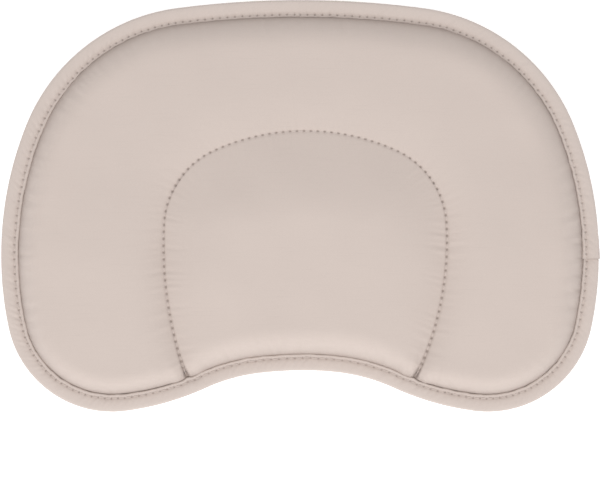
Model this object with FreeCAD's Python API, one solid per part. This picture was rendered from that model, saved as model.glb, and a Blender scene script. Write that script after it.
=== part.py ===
# Baby head pillow: a flat, kidney-shaped cushion that lies on its back, with a bound edge all round,
# a hollow for the neck in its front edge and an arched quilting seam that shapes the place for the head.
#
# Built in layers, from the table up:
#   back_cover      plain woven back, flat where it rests
#   core_pad        the main pad of needled fibre
#   quilt_lining    thin sheet that the quilting seam catches
#   quilt_wadding   soft wadding, pressed thin along the quilting seam
#   front_cover     woven front, drawn down along the quilting seam
# The edges of both covers and of the lining lie flat in the fold of edge_binding, a folded tape whose
# end laps over its start on the right-hand side. Every row of stitches is a group of short threads.
#
# Frame: millimetres. +Z is up, out of the front face. +Y runs from the neck hollow to the crown, +X to the
# right. The origin is the middle of the pillow's outline, on the surface that it rests on.

import FreeCAD, Part
import math
import os

Vector = FreeCAD.Vector

# ---------------------------------------------------------------- overall sizes
overall_width = 260.0
overall_depth = 179.0
overall_thickness = 28.0
neck_hollow_depth = 18.0
dish_offset = 2.0            # the neck hollow and the arch sit this far to the right of the crown's middle

# ---------------------------------------------------------------- outline, as tangent arcs from the crown down
crown_turn = 7.5             # degrees that the crown arc turns each side of the middle
shoulder_radius = 82.0
shoulder_turn = 60.5
side_turn = 34.0
lobe_radius = 46.0
lobe_turn = 85.5
heel_radius = 122.5          # long easy arc from the lobe into the neck hollow
hollow_flank_turn = 18.0
hollow_floor_turn = 6.5

# ---------------------------------------------------------------- arched quilting seam, symmetric about dish_offset
arch_top_y = 32.5
arch_half_width = 61.9
arch_top_turn = 24.3
arch_shoulder_radius = 36.8
arch_shoulder_turn = 62.5
arch_leg_radius = 145.0
arch_leg_turn = 42.0         # enough to run out past the neck hollow's edge

# ---------------------------------------------------------------- cloth, tape and thread
cover_cloth = 0.6
lining_cloth = 0.3
binding_width = 7.2
binding_nose = 2.0           # half the thickness of the rolled outer edge
tape_wall = 0.8              # two layers of folded tape
nose_wall = 1.3              # tape and turned edge at the very fold
lap_length = 11.0            # length of tape that laps over the tape's own start
lap_rise = 0.5
lap_edge_y = -23.0           # where the lap's folded end shows
thread = 0.36                # diameter

# ---------------------------------------------------------------- heights
binding_height = 11.0        # middle of the binding above the table
lining_rise = 9.0            # how far the lining domes up above the binding
seam_wadding = 1.8           # what the quilting seam presses the wadding down to
centre_rise = 4.0            # how far the front swells above the seam, inside the arch
centre_step = 0.2            # the centre's side of the seam lies this much lower than the rim's
back_fall = 11.5             # how far the back would bulge below the binding, if nothing stopped it

# ---------------------------------------------------------------- distances over which the faces round over
swell_power = 2.2
edge_roll = 18.0             # from the binding to the full height of the front
back_roll = 23.0
lining_roll = 22.0
ring_roll = 24.0             # from the quilting seam to the full height outside the arch
centre_roll = 20.0           # and inside it
centre_slope_start = 0.45    # share of centre_rise at the top of the arch
centre_slope_length = 60.0   # how far down from the top of the arch it reaches the full rise
seam_wadding_roll = 8.0

# ---------------------------------------------------------------- stitches
binding_stitch_inset = 1.6   # from the binding's inner edge
binding_stitch_pitch = 3.3
binding_stitch_length = 2.5
quilt_stitch_pitch = 3.0
quilt_stitch_length = 2.2
closing_stitch_inset = 3.1   # from the outer edge, hidden in the binding
closing_stitch_pitch = 5.0
closing_stitch_length = 3.6

# ---------------------------------------------------------------- clearances
skin_gap = 0.05              # between one layer and the next
thread_gap = 0.03            # between a thread and the cloth that it lies on
core_gap = 0.6               # room under the lining for the quilting seam's lower thread
hem_overlap = 0.4            # how far the covers' flat hems run in under their domed faces
foot_clearance = 0.1         # least height between the edges of a domed face and of its hem
cover_inset = 1.7            # from the outer edge to the covers' cut edges
wadding_inset = 1.0          # from the binding's inner edge to the wadding
core_inset = 1.6
grid_step = 5.0              # spacing of the points that the curved faces pass through
slab_depth = 80.0

# ---------------------------------------------------------------- what follows from them
flange_half = lining_cloth / 2 + cover_cloth
lip_half = flange_half + skin_gap + tape_wall
cavity_half = flange_half + thread + 4 * thread_gap
seat_inset = binding_width + skin_gap
back_slope = swell_power * back_fall / back_roll
back_foot = cover_cloth * (math.sqrt(1 + back_slope ** 2) - 1) + foot_clearance   # below its hem's underside
front_foot = cover_cloth / 2 - foot_clearance / 2                                 # above its hem's underside
ring_rise = (overall_thickness - cover_cloth - seam_wadding - front_foot - lining_cloth / 2
             - lining_rise - binding_height)
half_width = overall_width / 2
half_depth = overall_depth / 2


# ================================================================ arcs
class TangentArc:
    """One arc of an outline. It starts at angle start about its centre and runs through sweep, in radians.
    inward is +1 where the pillow lies on the centre's side, and -1 where it lies outside."""

    def __init__(self, centre, radius, start, sweep, inward):
        self.centre = centre
        self.radius = radius
        self.start = start
        self.sweep = sweep
        self.inward = inward

    def inset(self, distance):
        radius = self.radius - self.inward * distance
        return TangentArc(self.centre, radius, self.start, self.sweep, self.inward)

    def mirrored(self, about_x):
        centre = (2 * about_x - self.centre[0], self.centre[1])
        return TangentArc(centre, self.radius, math.pi - self.start, -self.sweep, self.inward)

    def reversed(self):
        return TangentArc(self.centre, self.radius, self.start + self.sweep, -self.sweep, self.inward)

    def length(self):
        return self.radius * abs(self.sweep)

    def point(self, share):
        angle = self.start + share * self.sweep
        return (self.centre[0] + self.radius * math.cos(angle), self.centre[1] + self.radius * math.sin(angle))

    def edge(self, z):
        ends = [Vector(*self.point(share), z) for share in (0.0, 0.5, 1.0)]
        return Part.Arc(*ends).toShape()

    def distance(self, x, y):
        """(signed distance to the inside, whether the point lies beside the arc)."""
        away_x = x - self.centre[0]
        away_y = y - self.centre[1]
        away = math.hypot(away_x, away_y)
        turned = (math.atan2(away_y, away_x) - self.start) * math.copysign(1, self.sweep)
        turned = (turned + math.pi) % (2 * math.pi) - math.pi
        beside = -1e-6 <= turned <= abs(self.sweep) + 1e-6
        return self.inward * (self.radius - away), beside


def unit_step(heading, turn):
    """How far an arc of radius 1 goes from a heading, turning clockwise by turn (or the other way if negative)."""
    side = math.copysign(1, turn)
    return (side * (math.sin(heading) - math.sin(heading - turn)),
            side * (math.cos(heading - turn) - math.cos(heading)))


def chain(start, radii, turns):
    """Tangent arcs from a start point, setting out along +X. Turns are clockwise, in radians."""
    x, y = start
    heading = 0.0
    arcs = []
    for radius, turn in zip(radii, turns):
        side = math.copysign(1, turn)
        centre = (x + side * radius * math.sin(heading), y - side * radius * math.cos(heading))
        angle = math.atan2(y - centre[1], x - centre[0])
        arcs.append(TangentArc(centre, radius, angle, -turn, side))
        step = unit_step(heading, turn)
        x += radius * step[0]
        y += radius * step[1]
        heading -= turn
    return arcs


def place_at(radii, turns, stop_heading=None):
    """Where a chain from (0, 0) is when it first has the heading stop_heading, or at its end."""
    x = y = heading = 0.0
    for radius, turn in zip(radii, turns):
        stops = stop_heading is not None and heading >= stop_heading >= heading - turn
        step = unit_step(heading, heading - stop_heading if stops else turn)
        x += radius * step[0]
        y += radius * step[1]
        if stops:
            break
        heading -= turn
    return x, y


def solve_two_radii(radii, turns, free, wanted):
    """Fills in the two radii numbered in free, so that wanted(radii) is (0, 0). It is linear in each."""
    trial = list(radii)
    for index in free:
        trial[index] = 0.0
    base = wanted(trial)
    columns = []
    for index in free:
        trial[index] = 1.0
        value = wanted(trial)
        trial[index] = 0.0
        columns.append((value[0] - base[0], value[1] - base[1]))
    (a, c), (b, d) = columns
    determinant = a * d - b * c
    radii[free[0]] = (-base[0] * d + base[1] * b) / determinant
    radii[free[1]] = (-base[1] * a + base[0] * c) / determinant


def half_outline(hollow_middle_x):
    """The outline from the middle of the crown, round the right-hand side, to the middle of the neck hollow."""
    turns = [math.radians(v) for v in (crown_turn, shoulder_turn, side_turn, lobe_turn)]
    hollow_turns = [-math.radians(v) for v in (hollow_flank_turn, hollow_floor_turn)]
    heel_turn = math.pi - sum(turns) - sum(hollow_turns)
    turns = turns + [heel_turn] + hollow_turns
    crown, side, flank, floor = 0, 2, 5, 6
    radii = [0.0, shoulder_radius, 0.0, lobe_radius, heel_radius, 0.0, 0.0]

    def overall_error(trial):
        return (place_at(trial, turns, -math.pi / 2)[0] - half_width,
                place_at(trial, turns, -math.pi)[1] + overall_depth)

    def hollow_error(trial):
        x, y = place_at(trial, turns)
        return x - hollow_middle_x, y + overall_depth - neck_hollow_depth

    solve_two_radii(radii, turns, (crown, side), overall_error)
    solve_two_radii(radii, turns, (flank, floor), hollow_error)
    return chain((0.0, half_depth), radii, turns)


def arch_half():
    """The right half of the arched seam, from its top down past the edge of the neck hollow."""
    turns = [math.radians(v) for v in (arch_top_turn, arch_shoulder_turn, arch_leg_turn)]
    radii = [0.0, arch_shoulder_radius, arch_leg_radius]
    reach_without_top = place_at(radii, turns, -math.pi / 2)[0]
    radii[0] = (arch_half_width - reach_without_top) / unit_step(0.0, turns[0])[0]
    return chain((dish_offset, arch_top_y), radii, turns)


right_half = half_outline(dish_offset)
left_half = [arc.mirrored(0.0) for arc in half_outline(-dish_offset)]
outline = right_half + [arc.reversed() for arc in reversed(left_half)]
right_arch = arch_half()
left_arch = [arc.mirrored(dish_offset) for arc in right_arch]
arch = [arc.reversed() for arc in reversed(left_arch)] + right_arch


def nearest(arcs, x, y):
    """Signed distance from a point to a chain of arcs, positive on the chain's inner side."""
    best = None
    for arc in arcs:
        value, beside = arc.distance(x, y)
        if beside and (best is None or abs(value) < abs(best)):
            best = value
    if best is None:
        gaps = [math.dist((x, y), arc.point(share)) for arc in arcs for share in (0.0, 1.0)]
        best = min(gaps)
    return best


# ================================================================ the curved faces, as heights over (x, y)
def swell(distance, roll):
    """0 at a seam, 1 from the distance roll on, with a level top. It runs on in a straight line past the seam."""
    share = distance / roll
    if share <= 0:
        return swell_power * share
    return 1.0 - max(0.0, 1.0 - share) ** swell_power


def from_seat(x, y):
    """Distance in from the binding's inner edge, where the covers leave the flat."""
    return nearest(outline, x, y) - seat_inset


def lining_middle(x, y):
    return binding_height + lining_rise * swell(from_seat(x, y) - hem_overlap, lining_roll)


def seam_level(x, y):
    """Inner face of the front cover where the quilting seam would hold it."""
    domed = lining_rise * swell(from_seat(x, y), lining_roll)
    pressed = seam_wadding * swell(from_seat(x, y), seam_wadding_roll)
    return binding_height + lining_cloth / 2 + front_foot + domed + pressed


def ring_inner(x, y):
    outside_arch = -nearest(arch, x, y)
    return seam_level(x, y) + ring_rise * swell(from_seat(x, y), edge_roll) * swell(outside_arch, ring_roll)


def centre_inner(x, y):
    inside_arch = nearest(arch, x, y)
    down = min(max((arch_top_y - y) / centre_slope_length, 0.0), 1.0)
    slope = centre_slope_start + (1 - centre_slope_start) * down * down * (3 - 2 * down)
    round_over = swell(from_seat(x, y), edge_roll) * swell(inside_arch, centre_roll)
    return seam_level(x, y) - centre_step + centre_rise * slope * round_over


def back_outer(x, y):
    return binding_height - flange_half - back_foot - back_fall * swell(from_seat(x, y), back_roll)


def thickened(height, thickness):
    """The height of a face that lies a cloth's thickness from another one, measured square to it."""
    def other(x, y):
        reach = grid_step / 4
        slope_x = (height(x + reach, y) - height(x - reach, y)) / (2 * reach)
        slope_y = (height(x, y + reach) - height(x, y - reach)) / (2 * reach)
        return height(x, y) + thickness * math.sqrt(1 + slope_x ** 2 + slope_y ** 2)
    return other


def raised(height, amount):
    return lambda x, y: height(x, y) + amount


def face_through(height):
    """A smooth face through the heights on an even grid that covers the pillow with room to spare."""
    margin = 2 * grid_step
    across = math.ceil((half_width + margin) / grid_step)
    along = math.ceil((half_depth + margin) / grid_step)
    rows = [[Vector(i * grid_step, j * grid_step, height(i * grid_step, j * grid_step))
             for j in range(-along, along + 1)]
            for i in range(-across, across + 1)]
    surface = Part.BSplineSurface()
    surface.interpolate(rows)
    return surface.toShape()


def under(height):
    return face_through(height).extrude(Vector(0, 0, -slab_depth))


def over(height):
    return face_through(height).extrude(Vector(0, 0, slab_depth))


# ================================================================ flat regions and prisms
def loop_wire(inset, z):
    return Part.Wire([arc.inset(inset).edge(z) for arc in outline])


def loop_prism(inset, low, high):
    return Part.Face(loop_wire(inset, low)).extrude(Vector(0, 0, high - low))


def arch_prism(inset, low, high):
    """Everything inside the arch. inset moves its side walls in from the seam, or out if it is negative."""
    arcs = [arc.inset(inset) for arc in arch]
    first = Vector(*arcs[0].point(0.0), low)
    last = Vector(*arcs[-1].point(1.0), low)
    wire = Part.Wire([arc.edge(low) for arc in arcs] + [Part.makeLine(last, first)])
    return Part.Face(wire).extrude(Vector(0, 0, high - low))


def level_ring(outer_inset, inner_inset, low, high):
    return loop_prism(outer_inset, low, high).cut(loop_prism(inner_inset, low - 1, high + 1))


def single_solid(shape):
    solids = shape.Solids
    return max(solids, key=lambda solid: solid.Volume)


# ================================================================ the layers
reach_up = overall_thickness + 10.0
cover_zone = loop_prism(seat_inset, -5.0, reach_up)
arch_zone = arch_prism(0.0, -10.0, reach_up + 5.0)
ring_zone = cover_zone.cut(arch_zone)
centre_zone = cover_zone.common(arch_zone)


def make_front_cover():
    ring = ring_zone.common(under(thickened(ring_inner, cover_cloth))).cut(under(ring_inner))
    centre = centre_zone.common(under(thickened(centre_inner, cover_cloth))).cut(under(centre_inner))
    low = binding_height + lining_cloth / 2
    hem = level_ring(cover_inset, seat_inset + hem_overlap, low, low + cover_cloth)
    return single_solid(ring.fuse([centre, hem]).removeSplitter())


def make_back_cover():
    outer = loop_prism(seat_inset, 0.0, reach_up).common(over(back_outer))
    inner = loop_prism(0.0, cover_cloth, reach_up + 5.0).common(over(thickened(back_outer, cover_cloth)))
    high = binding_height - lining_cloth / 2
    hem = level_ring(cover_inset, seat_inset + hem_overlap, high - cover_cloth, high)
    return single_solid(outer.cut(inner).fuse(hem).removeSplitter())


def make_quilt_lining():
    top = raised(lining_middle, lining_cloth / 2)
    bottom = raised(lining_middle, -lining_cloth / 2)
    dome = loop_prism(seat_inset + hem_overlap, -5.0, reach_up).common(under(top)).cut(under(bottom))
    low = binding_height - lining_cloth / 2 + skin_gap
    hem = level_ring(cover_inset, seat_inset + hem_overlap, low, low + lining_cloth - 2 * skin_gap)
    return single_solid(dome.fuse(hem).removeSplitter())


def make_quilt_wadding():
    zone = loop_prism(binding_width + wadding_inset, 0.0, reach_up)
    above_lining = over(raised(lining_middle, lining_cloth / 2 + skin_gap))
    ring = zone.cut(arch_zone).common(under(raised(ring_inner, -skin_gap)))
    centre = zone.common(arch_zone).common(under(raised(centre_inner, -skin_gap)))
    return single_solid(ring.fuse(centre).common(above_lining).removeSplitter())


def make_core_pad():
    zone = loop_prism(binding_width + core_inset, cover_cloth + skin_gap, reach_up)
    below_lining = under(raised(lining_middle, -lining_cloth / 2 - core_gap))
    above_back = over(raised(thickened(back_outer, cover_cloth), skin_gap))
    return single_solid(zone.common(below_lining).common(above_back))


# ================================================================ the binding
def binding_profile(extra):
    """The tape's closed outer shape, square to the outline where it starts, swollen by extra."""
    def at(inset, rise):
        return Vector(0, half_depth - inset, binding_height + rise)
    nose = binding_nose + extra
    lip = lip_half + extra
    round_end = Part.Arc(at(binding_nose, nose), at(-extra, 0), at(binding_nose, -nose)).toShape()
    corners = [at(binding_nose, -nose), at(binding_width, -lip), at(binding_width, lip), at(binding_nose, nose)]
    sides = [Part.makeLine(a, b) for a, b in zip(corners, corners[1:])]
    return Part.Wire([round_end] + sides)


def make_edge_binding():
    spine = loop_wire(0.0, binding_height)
    roll = spine.makePipeShell([binding_profile(0.0)], True, False)
    slot_half = flange_half + skin_gap
    slot = level_ring(nose_wall, binding_width + 1.0, binding_height - slot_half, binding_height + slot_half)
    step_inset = binding_width - 2 * binding_stitch_inset + thread
    cavity = level_ring(nose_wall, step_inset, binding_height - cavity_half, binding_height + cavity_half)
    lap = make_binding_lap().cut(cavity).cut(slot)
    return single_solid(roll.cut(slot).cut(cavity).fuse(lap).removeSplitter())


def side_arc_angle(y):
    """Angle about the right-hand side arc's centre at which the outline reaches a given y."""
    side_arc = right_half[2]
    return side_arc, math.asin((y - side_arc.centre[1]) / side_arc.radius)


def make_binding_lap():
    """The tape's end, which lies over its start: thickest at its folded end and faired out above it."""
    side_arc, low_angle = side_arc_angle(lap_edge_y)
    high_angle = low_angle + lap_length / side_arc.radius
    spine_arc = TangentArc(side_arc.centre, side_arc.radius, low_angle, high_angle - low_angle, 1)
    spine = Part.Wire([spine_arc.edge(binding_height)])
    centre = Vector(side_arc.centre[0], side_arc.centre[1], 0)

    def placed(extra, angle):
        profile = binding_profile(extra)
        profile.translate(Vector(side_arc.centre[0], side_arc.centre[1] + side_arc.radius - half_depth, 0))
        profile.rotate(centre, Vector(0, 0, 1), math.degrees(angle) - 90)
        return profile

    ends = [placed(lap_rise, low_angle), placed(skin_gap, high_angle)]
    return spine.makePipeShell(ends, True, False)


# ================================================================ stitches
def places_along(arcs, pitch, stitch_length, closed):
    """Start and end points of evenly spaced stitches along a chain of arcs."""
    total = sum(arc.length() for arc in arcs)
    count = int(total / pitch)
    spacing = total / count if closed else pitch

    def point_at(distance):
        for arc in arcs:
            if distance <= arc.length():
                return arc.point(distance / arc.length())
            distance -= arc.length()
        return arcs[-1].point(1.0)

    first = (spacing - stitch_length) / 2
    return [(point_at(first + i * spacing), point_at(first + i * spacing + stitch_length)) for i in range(count)]


def stitch_between(start, end):
    return Part.makeCylinder(thread / 2, (end - start).Length, start, end - start)


def level_stitches(inset, pitch, stitch_length, z):
    arcs = [arc.inset(inset) for arc in outline]
    return [stitch_between(Vector(*a, z), Vector(*b, z)) for a, b in places_along(arcs, pitch, stitch_length, True)]


def binding_face_height(inset):
    """Half thickness of the binding at a distance in from its outer edge."""
    share = (inset - binding_nose) / (binding_width - binding_nose)
    return binding_nose + share * (lip_half - binding_nose)


def make_binding_stitches(side):
    inset = binding_width - binding_stitch_inset
    lift = binding_face_height(inset) + thread / 2 + 2 * thread_gap
    stitches = level_stitches(inset, binding_stitch_pitch, binding_stitch_length, binding_height + side * lift)
    lap = make_binding_lap()
    lap_box = lap.BoundBox
    lap_box.enlarge(thread)
    raised_stitches = []
    for stitch in stitches:
        over_lap = lap_box.isInside(stitch.CenterOfMass)
        raised_stitches.append(stitch.translated(Vector(0, 0, side * lap_rise)) if over_lap else stitch)
    return Part.makeCompound(raised_stitches)


def make_closing_stitches():
    lift = flange_half + thread / 2 + thread_gap
    rows = [level_stitches(closing_stitch_inset, closing_stitch_pitch, closing_stitch_length, binding_height + s * lift)
            for s in (1, -1)]
    return Part.makeCompound(rows[0] + rows[1])


def make_quilt_stitches(height, lift):
    """Threads along the arch, on the face that height gives, from one end of the seam to the other."""
    stitches = []
    for a, b in places_along(arch, quilt_stitch_pitch, quilt_stitch_length, False):
        if min(from_seat(*a), from_seat(*b)) < quilt_stitch_pitch / 2:
            continue
        stitches.append(stitch_between(Vector(*a, height(*a) + lift), Vector(*b, height(*b) + lift)))
    return Part.makeCompound(stitches)


def main():
    os.makedirs("parts", exist_ok=True)
    top_lift = cover_cloth + 1.6 * thread
    under_lift = -(lining_cloth / 2 + thread / 2 + 2 * thread_gap)
    nodes = {
        "front_cover": make_front_cover(),
        "back_cover": make_back_cover(),
        "quilt_lining": make_quilt_lining(),
        "quilt_wadding": make_quilt_wadding(),
        "core_pad": make_core_pad(),
        "edge_binding": make_edge_binding(),
        "binding_stitches_front": make_binding_stitches(1),
        "binding_stitches_back": make_binding_stitches(-1),
        "quilting_stitches_top": make_quilt_stitches(seam_level, top_lift),
        "quilting_stitches_under": make_quilt_stitches(lining_middle, under_lift),
        "closing_stitches": make_closing_stitches(),
    }
    for name, shape in nodes.items():
        box = shape.BoundBox
        print(f"{name}: {len(shape.Solids)} solids, volume {shape.Volume / 1000:.2f} cm3, valid {shape.isValid()}, "
              f"x {box.XMin:.2f}..{box.XMax:.2f} y {box.YMin:.2f}..{box.YMax:.2f} z {box.ZMin:.2f}..{box.ZMax:.2f}")
        shape.exportStep(f"parts/{name}.step")


main()
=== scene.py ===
import math
import bmesh
import bpy
import numpy as np
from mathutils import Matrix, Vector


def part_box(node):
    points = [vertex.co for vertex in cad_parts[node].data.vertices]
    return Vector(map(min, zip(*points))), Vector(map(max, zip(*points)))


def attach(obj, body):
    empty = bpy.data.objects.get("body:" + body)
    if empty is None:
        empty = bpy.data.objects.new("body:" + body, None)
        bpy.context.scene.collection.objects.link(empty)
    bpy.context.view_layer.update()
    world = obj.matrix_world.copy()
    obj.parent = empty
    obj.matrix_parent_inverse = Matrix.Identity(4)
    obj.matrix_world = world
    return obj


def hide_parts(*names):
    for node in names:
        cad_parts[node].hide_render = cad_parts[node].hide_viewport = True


# A contoured baby head pillow on its back: quilted front, plain back, folded tape round the edge.
# Lengths in the dictionaries are millimetres; meshes are made in metres, in the frame of the CAD model.
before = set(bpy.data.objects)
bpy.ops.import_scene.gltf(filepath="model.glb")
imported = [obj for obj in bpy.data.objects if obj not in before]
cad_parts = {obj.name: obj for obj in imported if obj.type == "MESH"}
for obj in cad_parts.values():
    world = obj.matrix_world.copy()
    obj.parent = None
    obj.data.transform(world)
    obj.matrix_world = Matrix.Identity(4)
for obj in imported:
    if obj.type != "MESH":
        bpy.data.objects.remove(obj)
scene = bpy.context.scene
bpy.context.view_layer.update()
mm = 0.001
rng = np.random.default_rng(20)
lowTape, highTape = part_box("edge_binding")
print("frame loaded, parts:", len(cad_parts))


# Each half of the outline is a chain of tangent arcs, from the middle of the crown to the middle of the hollow.
outlineShape = dict(
    width=260.0, depth=179.0, hollowDepth=18.0, hollowX=2.0,
    shoulderRadius=82.0, lobeRadius=46.0, heelRadius=122.5,
    crownTurn=7.5, shoulderTurn=60.5, sideTurn=34.0, lobeTurn=85.5, flankTurn=18.0, floorTurn=6.5,
)
archShape = dict(
    topX=2.3, topY=32.5, halfWidth=61.4, topTurn=24.3,
    shoulderRadius=36.8, shoulderTurn=62.5, legRadius=135.0, legTurn=42.0, leftLegRadius=168.0, leftLegTurn=34.0,
)


def unitStep(heading, turn):
    # chord of an arc of radius 1: difference of the sines and cosines of its two headings
    side = math.copysign(1, turn)
    return np.array([side * (math.sin(heading) - math.sin(heading - turn)),
                     side * (math.cos(heading - turn) - math.cos(heading))])


def chainEnd(radii, turns, stopHeading=None):
    place, heading = np.zeros(2), 0.0
    for radius, turn in zip(radii, turns):
        stops = stopHeading is not None and heading >= stopHeading >= heading - turn
        place = place + radius * unitStep(heading, heading - stopHeading if stops else turn)
        if stops:
            break
        heading -= turn
    return place


def makeChain(start, radii, turns):
    arcs, place, heading = [], np.array(start, float), 0.0
    for radius, turn in zip(radii, turns):
        side = math.copysign(1, turn)
        centre = place + side * radius * np.array([math.sin(heading), -math.cos(heading)])
        angle = math.atan2(*(place - centre)[::-1])
        arcs.append([centre, radius, angle, -turn, side])
        place = place + radius * unitStep(heading, turn)
        heading -= turn
    return arcs


def flipChain(arcs, aboutX):
    # mirror left to right, then run the other way, so that a left half leads into a right one
    return [[np.array([2 * aboutX - c[0], c[1]]), r, math.pi - a - sweep, sweep, side]
            for c, r, a, sweep, side in reversed(arcs)]


def solveRadii(radii, turns, free, wanted):
    # the end of a chain is linear in every radius, so two radii follow from two conditions
    trial = np.array(radii, float)
    trial[free] = 0
    base = wanted(trial)
    columns = []
    for index in free:
        step = trial.copy()
        step[index] = 1
        columns.append(wanted(step) - base)
    trial[free] = np.linalg.solve(np.array(columns).T, -base)
    return trial


def halfOutline(s, hollowX):
    turns = [math.radians(s[k]) for k in ("crownTurn", "shoulderTurn", "sideTurn", "lobeTurn")]
    hollow = [-math.radians(s["flankTurn"]), -math.radians(s["floorTurn"])]
    turns = turns + [math.pi - sum(turns) - sum(hollow)] + hollow
    radii = [0, s["shoulderRadius"], 0, s["lobeRadius"], s["heelRadius"], 0, 0]
    radii = solveRadii(radii, turns, [0, 2], lambda r: np.array(
        [chainEnd(r, turns, -math.pi / 2)[0] - s["width"] / 2, chainEnd(r, turns, -math.pi)[1] + s["depth"]]))
    radii = solveRadii(radii, turns, [5, 6], lambda r: chainEnd(r, turns) - np.array(
        [hollowX, s["hollowDepth"] - s["depth"]]))
    return makeChain((0, s["depth"] / 2), radii, turns)


def halfArch(s):
    turns = [math.radians(s[k]) for k in ("topTurn", "shoulderTurn", "legTurn")]
    radii = [0, s["shoulderRadius"], s["legRadius"]]
    radii[0] = (s["halfWidth"] - chainEnd(radii, turns, -math.pi / 2)[0]) / unitStep(0, turns[0])[0]
    return makeChain((s["topX"], s["topY"]), radii, turns)


class Route:
    # a chain of arcs that can be asked for points along it, and for the nearest place to any point

    def __init__(self, arcs):
        self.arcs = arcs
        self.lengths = np.array([abs(arc[3]) * arc[1] for arc in arcs])
        self.starts = np.concatenate([[0], np.cumsum(self.lengths)])
        self.total = self.starts[-1]

    def at(self, s, inset=0.0):
        # centre + (radius less the inset) * (cos, sin) of the angle that the distance s reaches
        s = np.clip(s, 0, self.total - 1e-9)
        index = np.clip(np.searchsorted(self.starts, s, side="right") - 1, 0, len(self.arcs) - 1)
        centre = np.array([arc[0] for arc in self.arcs])[index]
        radius, start, sweep, side = (np.array([arc[k] for arc in self.arcs])[index] for k in (1, 2, 3, 4))
        angle = start + sweep * (s - self.starts[index]) / self.lengths[index]
        outward = np.stack([np.cos(angle), np.sin(angle)], -1) * side[..., None]
        return centre + (radius * side)[..., None] * outward - np.asarray(inset)[..., None] * outward, outward

    def nearest(self, points):
        # signed distance to the inner side, and the distance along the chain, of the nearest arc
        best = np.full(len(points), 1e9)
        along = np.zeros(len(points))
        for (centre, radius, start, sweep, side), s0, length in zip(self.arcs, self.starts, self.lengths):
            away = points - centre
            reach = np.hypot(away[:, 0], away[:, 1])
            turned = (np.arctan2(away[:, 1], away[:, 0]) - start) * math.copysign(1, sweep)
            turned = (turned + math.pi) % (2 * math.pi) - math.pi
            value = side * (radius - reach)
            better = (turned > -1e-4) & (turned < abs(sweep) + 1e-4) & (np.abs(value) < np.abs(best))
            best[better] = value[better]
            along[better] = s0 + np.clip(turned[better] * radius, 0, length)
        return best, along


rightHalf = halfOutline(outlineShape, outlineShape["hollowX"])
leftHalf = halfOutline(outlineShape, -outlineShape["hollowX"])
outline = Route(rightHalf + flipChain(leftHalf, 0.0))
archRight = halfArch(archShape)
archLeft = halfArch(dict(archShape, legRadius=archShape["leftLegRadius"], legTurn=archShape["leftLegTurn"]))
arch = Route(flipChain(archLeft, archShape["topX"]) + archRight)
print("outline %.0f mm round, quilting line %.0f mm" % (outline.total, arch.total))


def swell(distance, roll, power):
    # 0 at a seam and 1 from the distance roll on, level at the top
    return 1 - (1 - np.clip(distance / roll, 0, 1)) ** power


def smooth(low, high, value):
    t = np.clip((value - low) / (high - low), 0, 1)
    return t * t * (3 - 2 * t)


def bell(distance, width):
    return np.exp(-(distance / width) ** 2)


def fade(distance, reach):
    # 1 at or before 0, then dying away over reach
    return np.exp(-np.maximum(distance, 0) / reach)


def makeRipple(shortest, longest, count):
    # a sum of cosines with wavelengths spread by ratio, random phases, and about 1 high
    wavelengths = shortest * (longest / shortest) ** rng.random(count)
    phases = rng.random(count) * 2 * math.pi
    heights = rng.random(count) ** 0.5
    heights /= np.sqrt((heights ** 2).sum() / 2)

    def ripple(s):
        flat = np.ravel(s)
        return (np.cos(flat[:, None] * (2 * math.pi / wavelengths) + phases) @ heights).reshape(np.shape(s)) * 0.6
    return ripple


def makeLumps(shortest, longest, count):
    # plane waves in random directions, summed: a soft unevenness over x and y
    wavelengths = shortest * (longest / shortest) ** rng.random(count)
    angles = rng.random(count) * 2 * math.pi
    waves = np.stack([np.cos(angles), np.sin(angles)]) * (2 * math.pi / wavelengths)
    phases = rng.random(count) * 2 * math.pi

    def lumps(points):
        return np.cos(points @ waves + phases).sum(1) / math.sqrt(count / 2) * 0.6
    return lumps


def addMesh(name, vertices, faces):
    mesh = bpy.data.meshes.new(name)
    mesh.from_pydata((np.asarray(vertices) * mm).tolist(), [], faces)
    mesh.update()
    piece = bpy.data.objects.new(name, mesh)
    scene.collection.objects.link(piece)
    mesh.shade_smooth()
    return piece


def gridFaces(rows, columns, closeRows=False, closeColumns=False, start=0):
    # four corners of every cell of a grid of numbered points
    r = np.arange(rows if closeRows else rows - 1)
    c = np.arange(columns if closeColumns else columns - 1)
    r0, c0 = np.meshgrid(r, c, indexing="ij")
    r1, c1 = (r0 + 1) % rows, (c0 + 1) % columns
    quads = np.stack([r0 * columns + c0, r1 * columns + c0, r1 * columns + c1, r0 * columns + c1], -1)
    return quads.reshape(-1, 4) + start


def setUv(piece, name, values):
    # one pair for each vertex, copied to the corners of the faces
    mesh = piece.data
    corners = np.zeros(len(mesh.loops), np.int32)
    mesh.loops.foreach_get("vertex_index", corners)
    layer = mesh.uv_layers.new(name=name)
    layer.data.foreach_set("uv", np.asarray(values, np.float32)[corners].ravel())


def setValue(piece, name, values):
    attribute = piece.data.attributes.new(name, "FLOAT", "POINT")
    attribute.data.foreach_set("value", np.asarray(values, np.float32).ravel())


def declare(piece, material, node):
    piece.data.materials.append(material)
    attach(piece, "root")
    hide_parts(node)


def gridNormals(points, closeRows, closeColumns):
    # cross product of the steps to the neighbours along both directions of a grid
    def step(axis, closed):
        if closed:
            return np.roll(points, -1, axis) - np.roll(points, 1, axis)
        return np.gradient(points, axis=axis)
    normal = np.cross(step(0, closeRows), step(1, closeColumns))
    return normal / np.maximum(np.linalg.norm(normal, axis=-1, keepdims=True), 1e-12)


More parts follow.
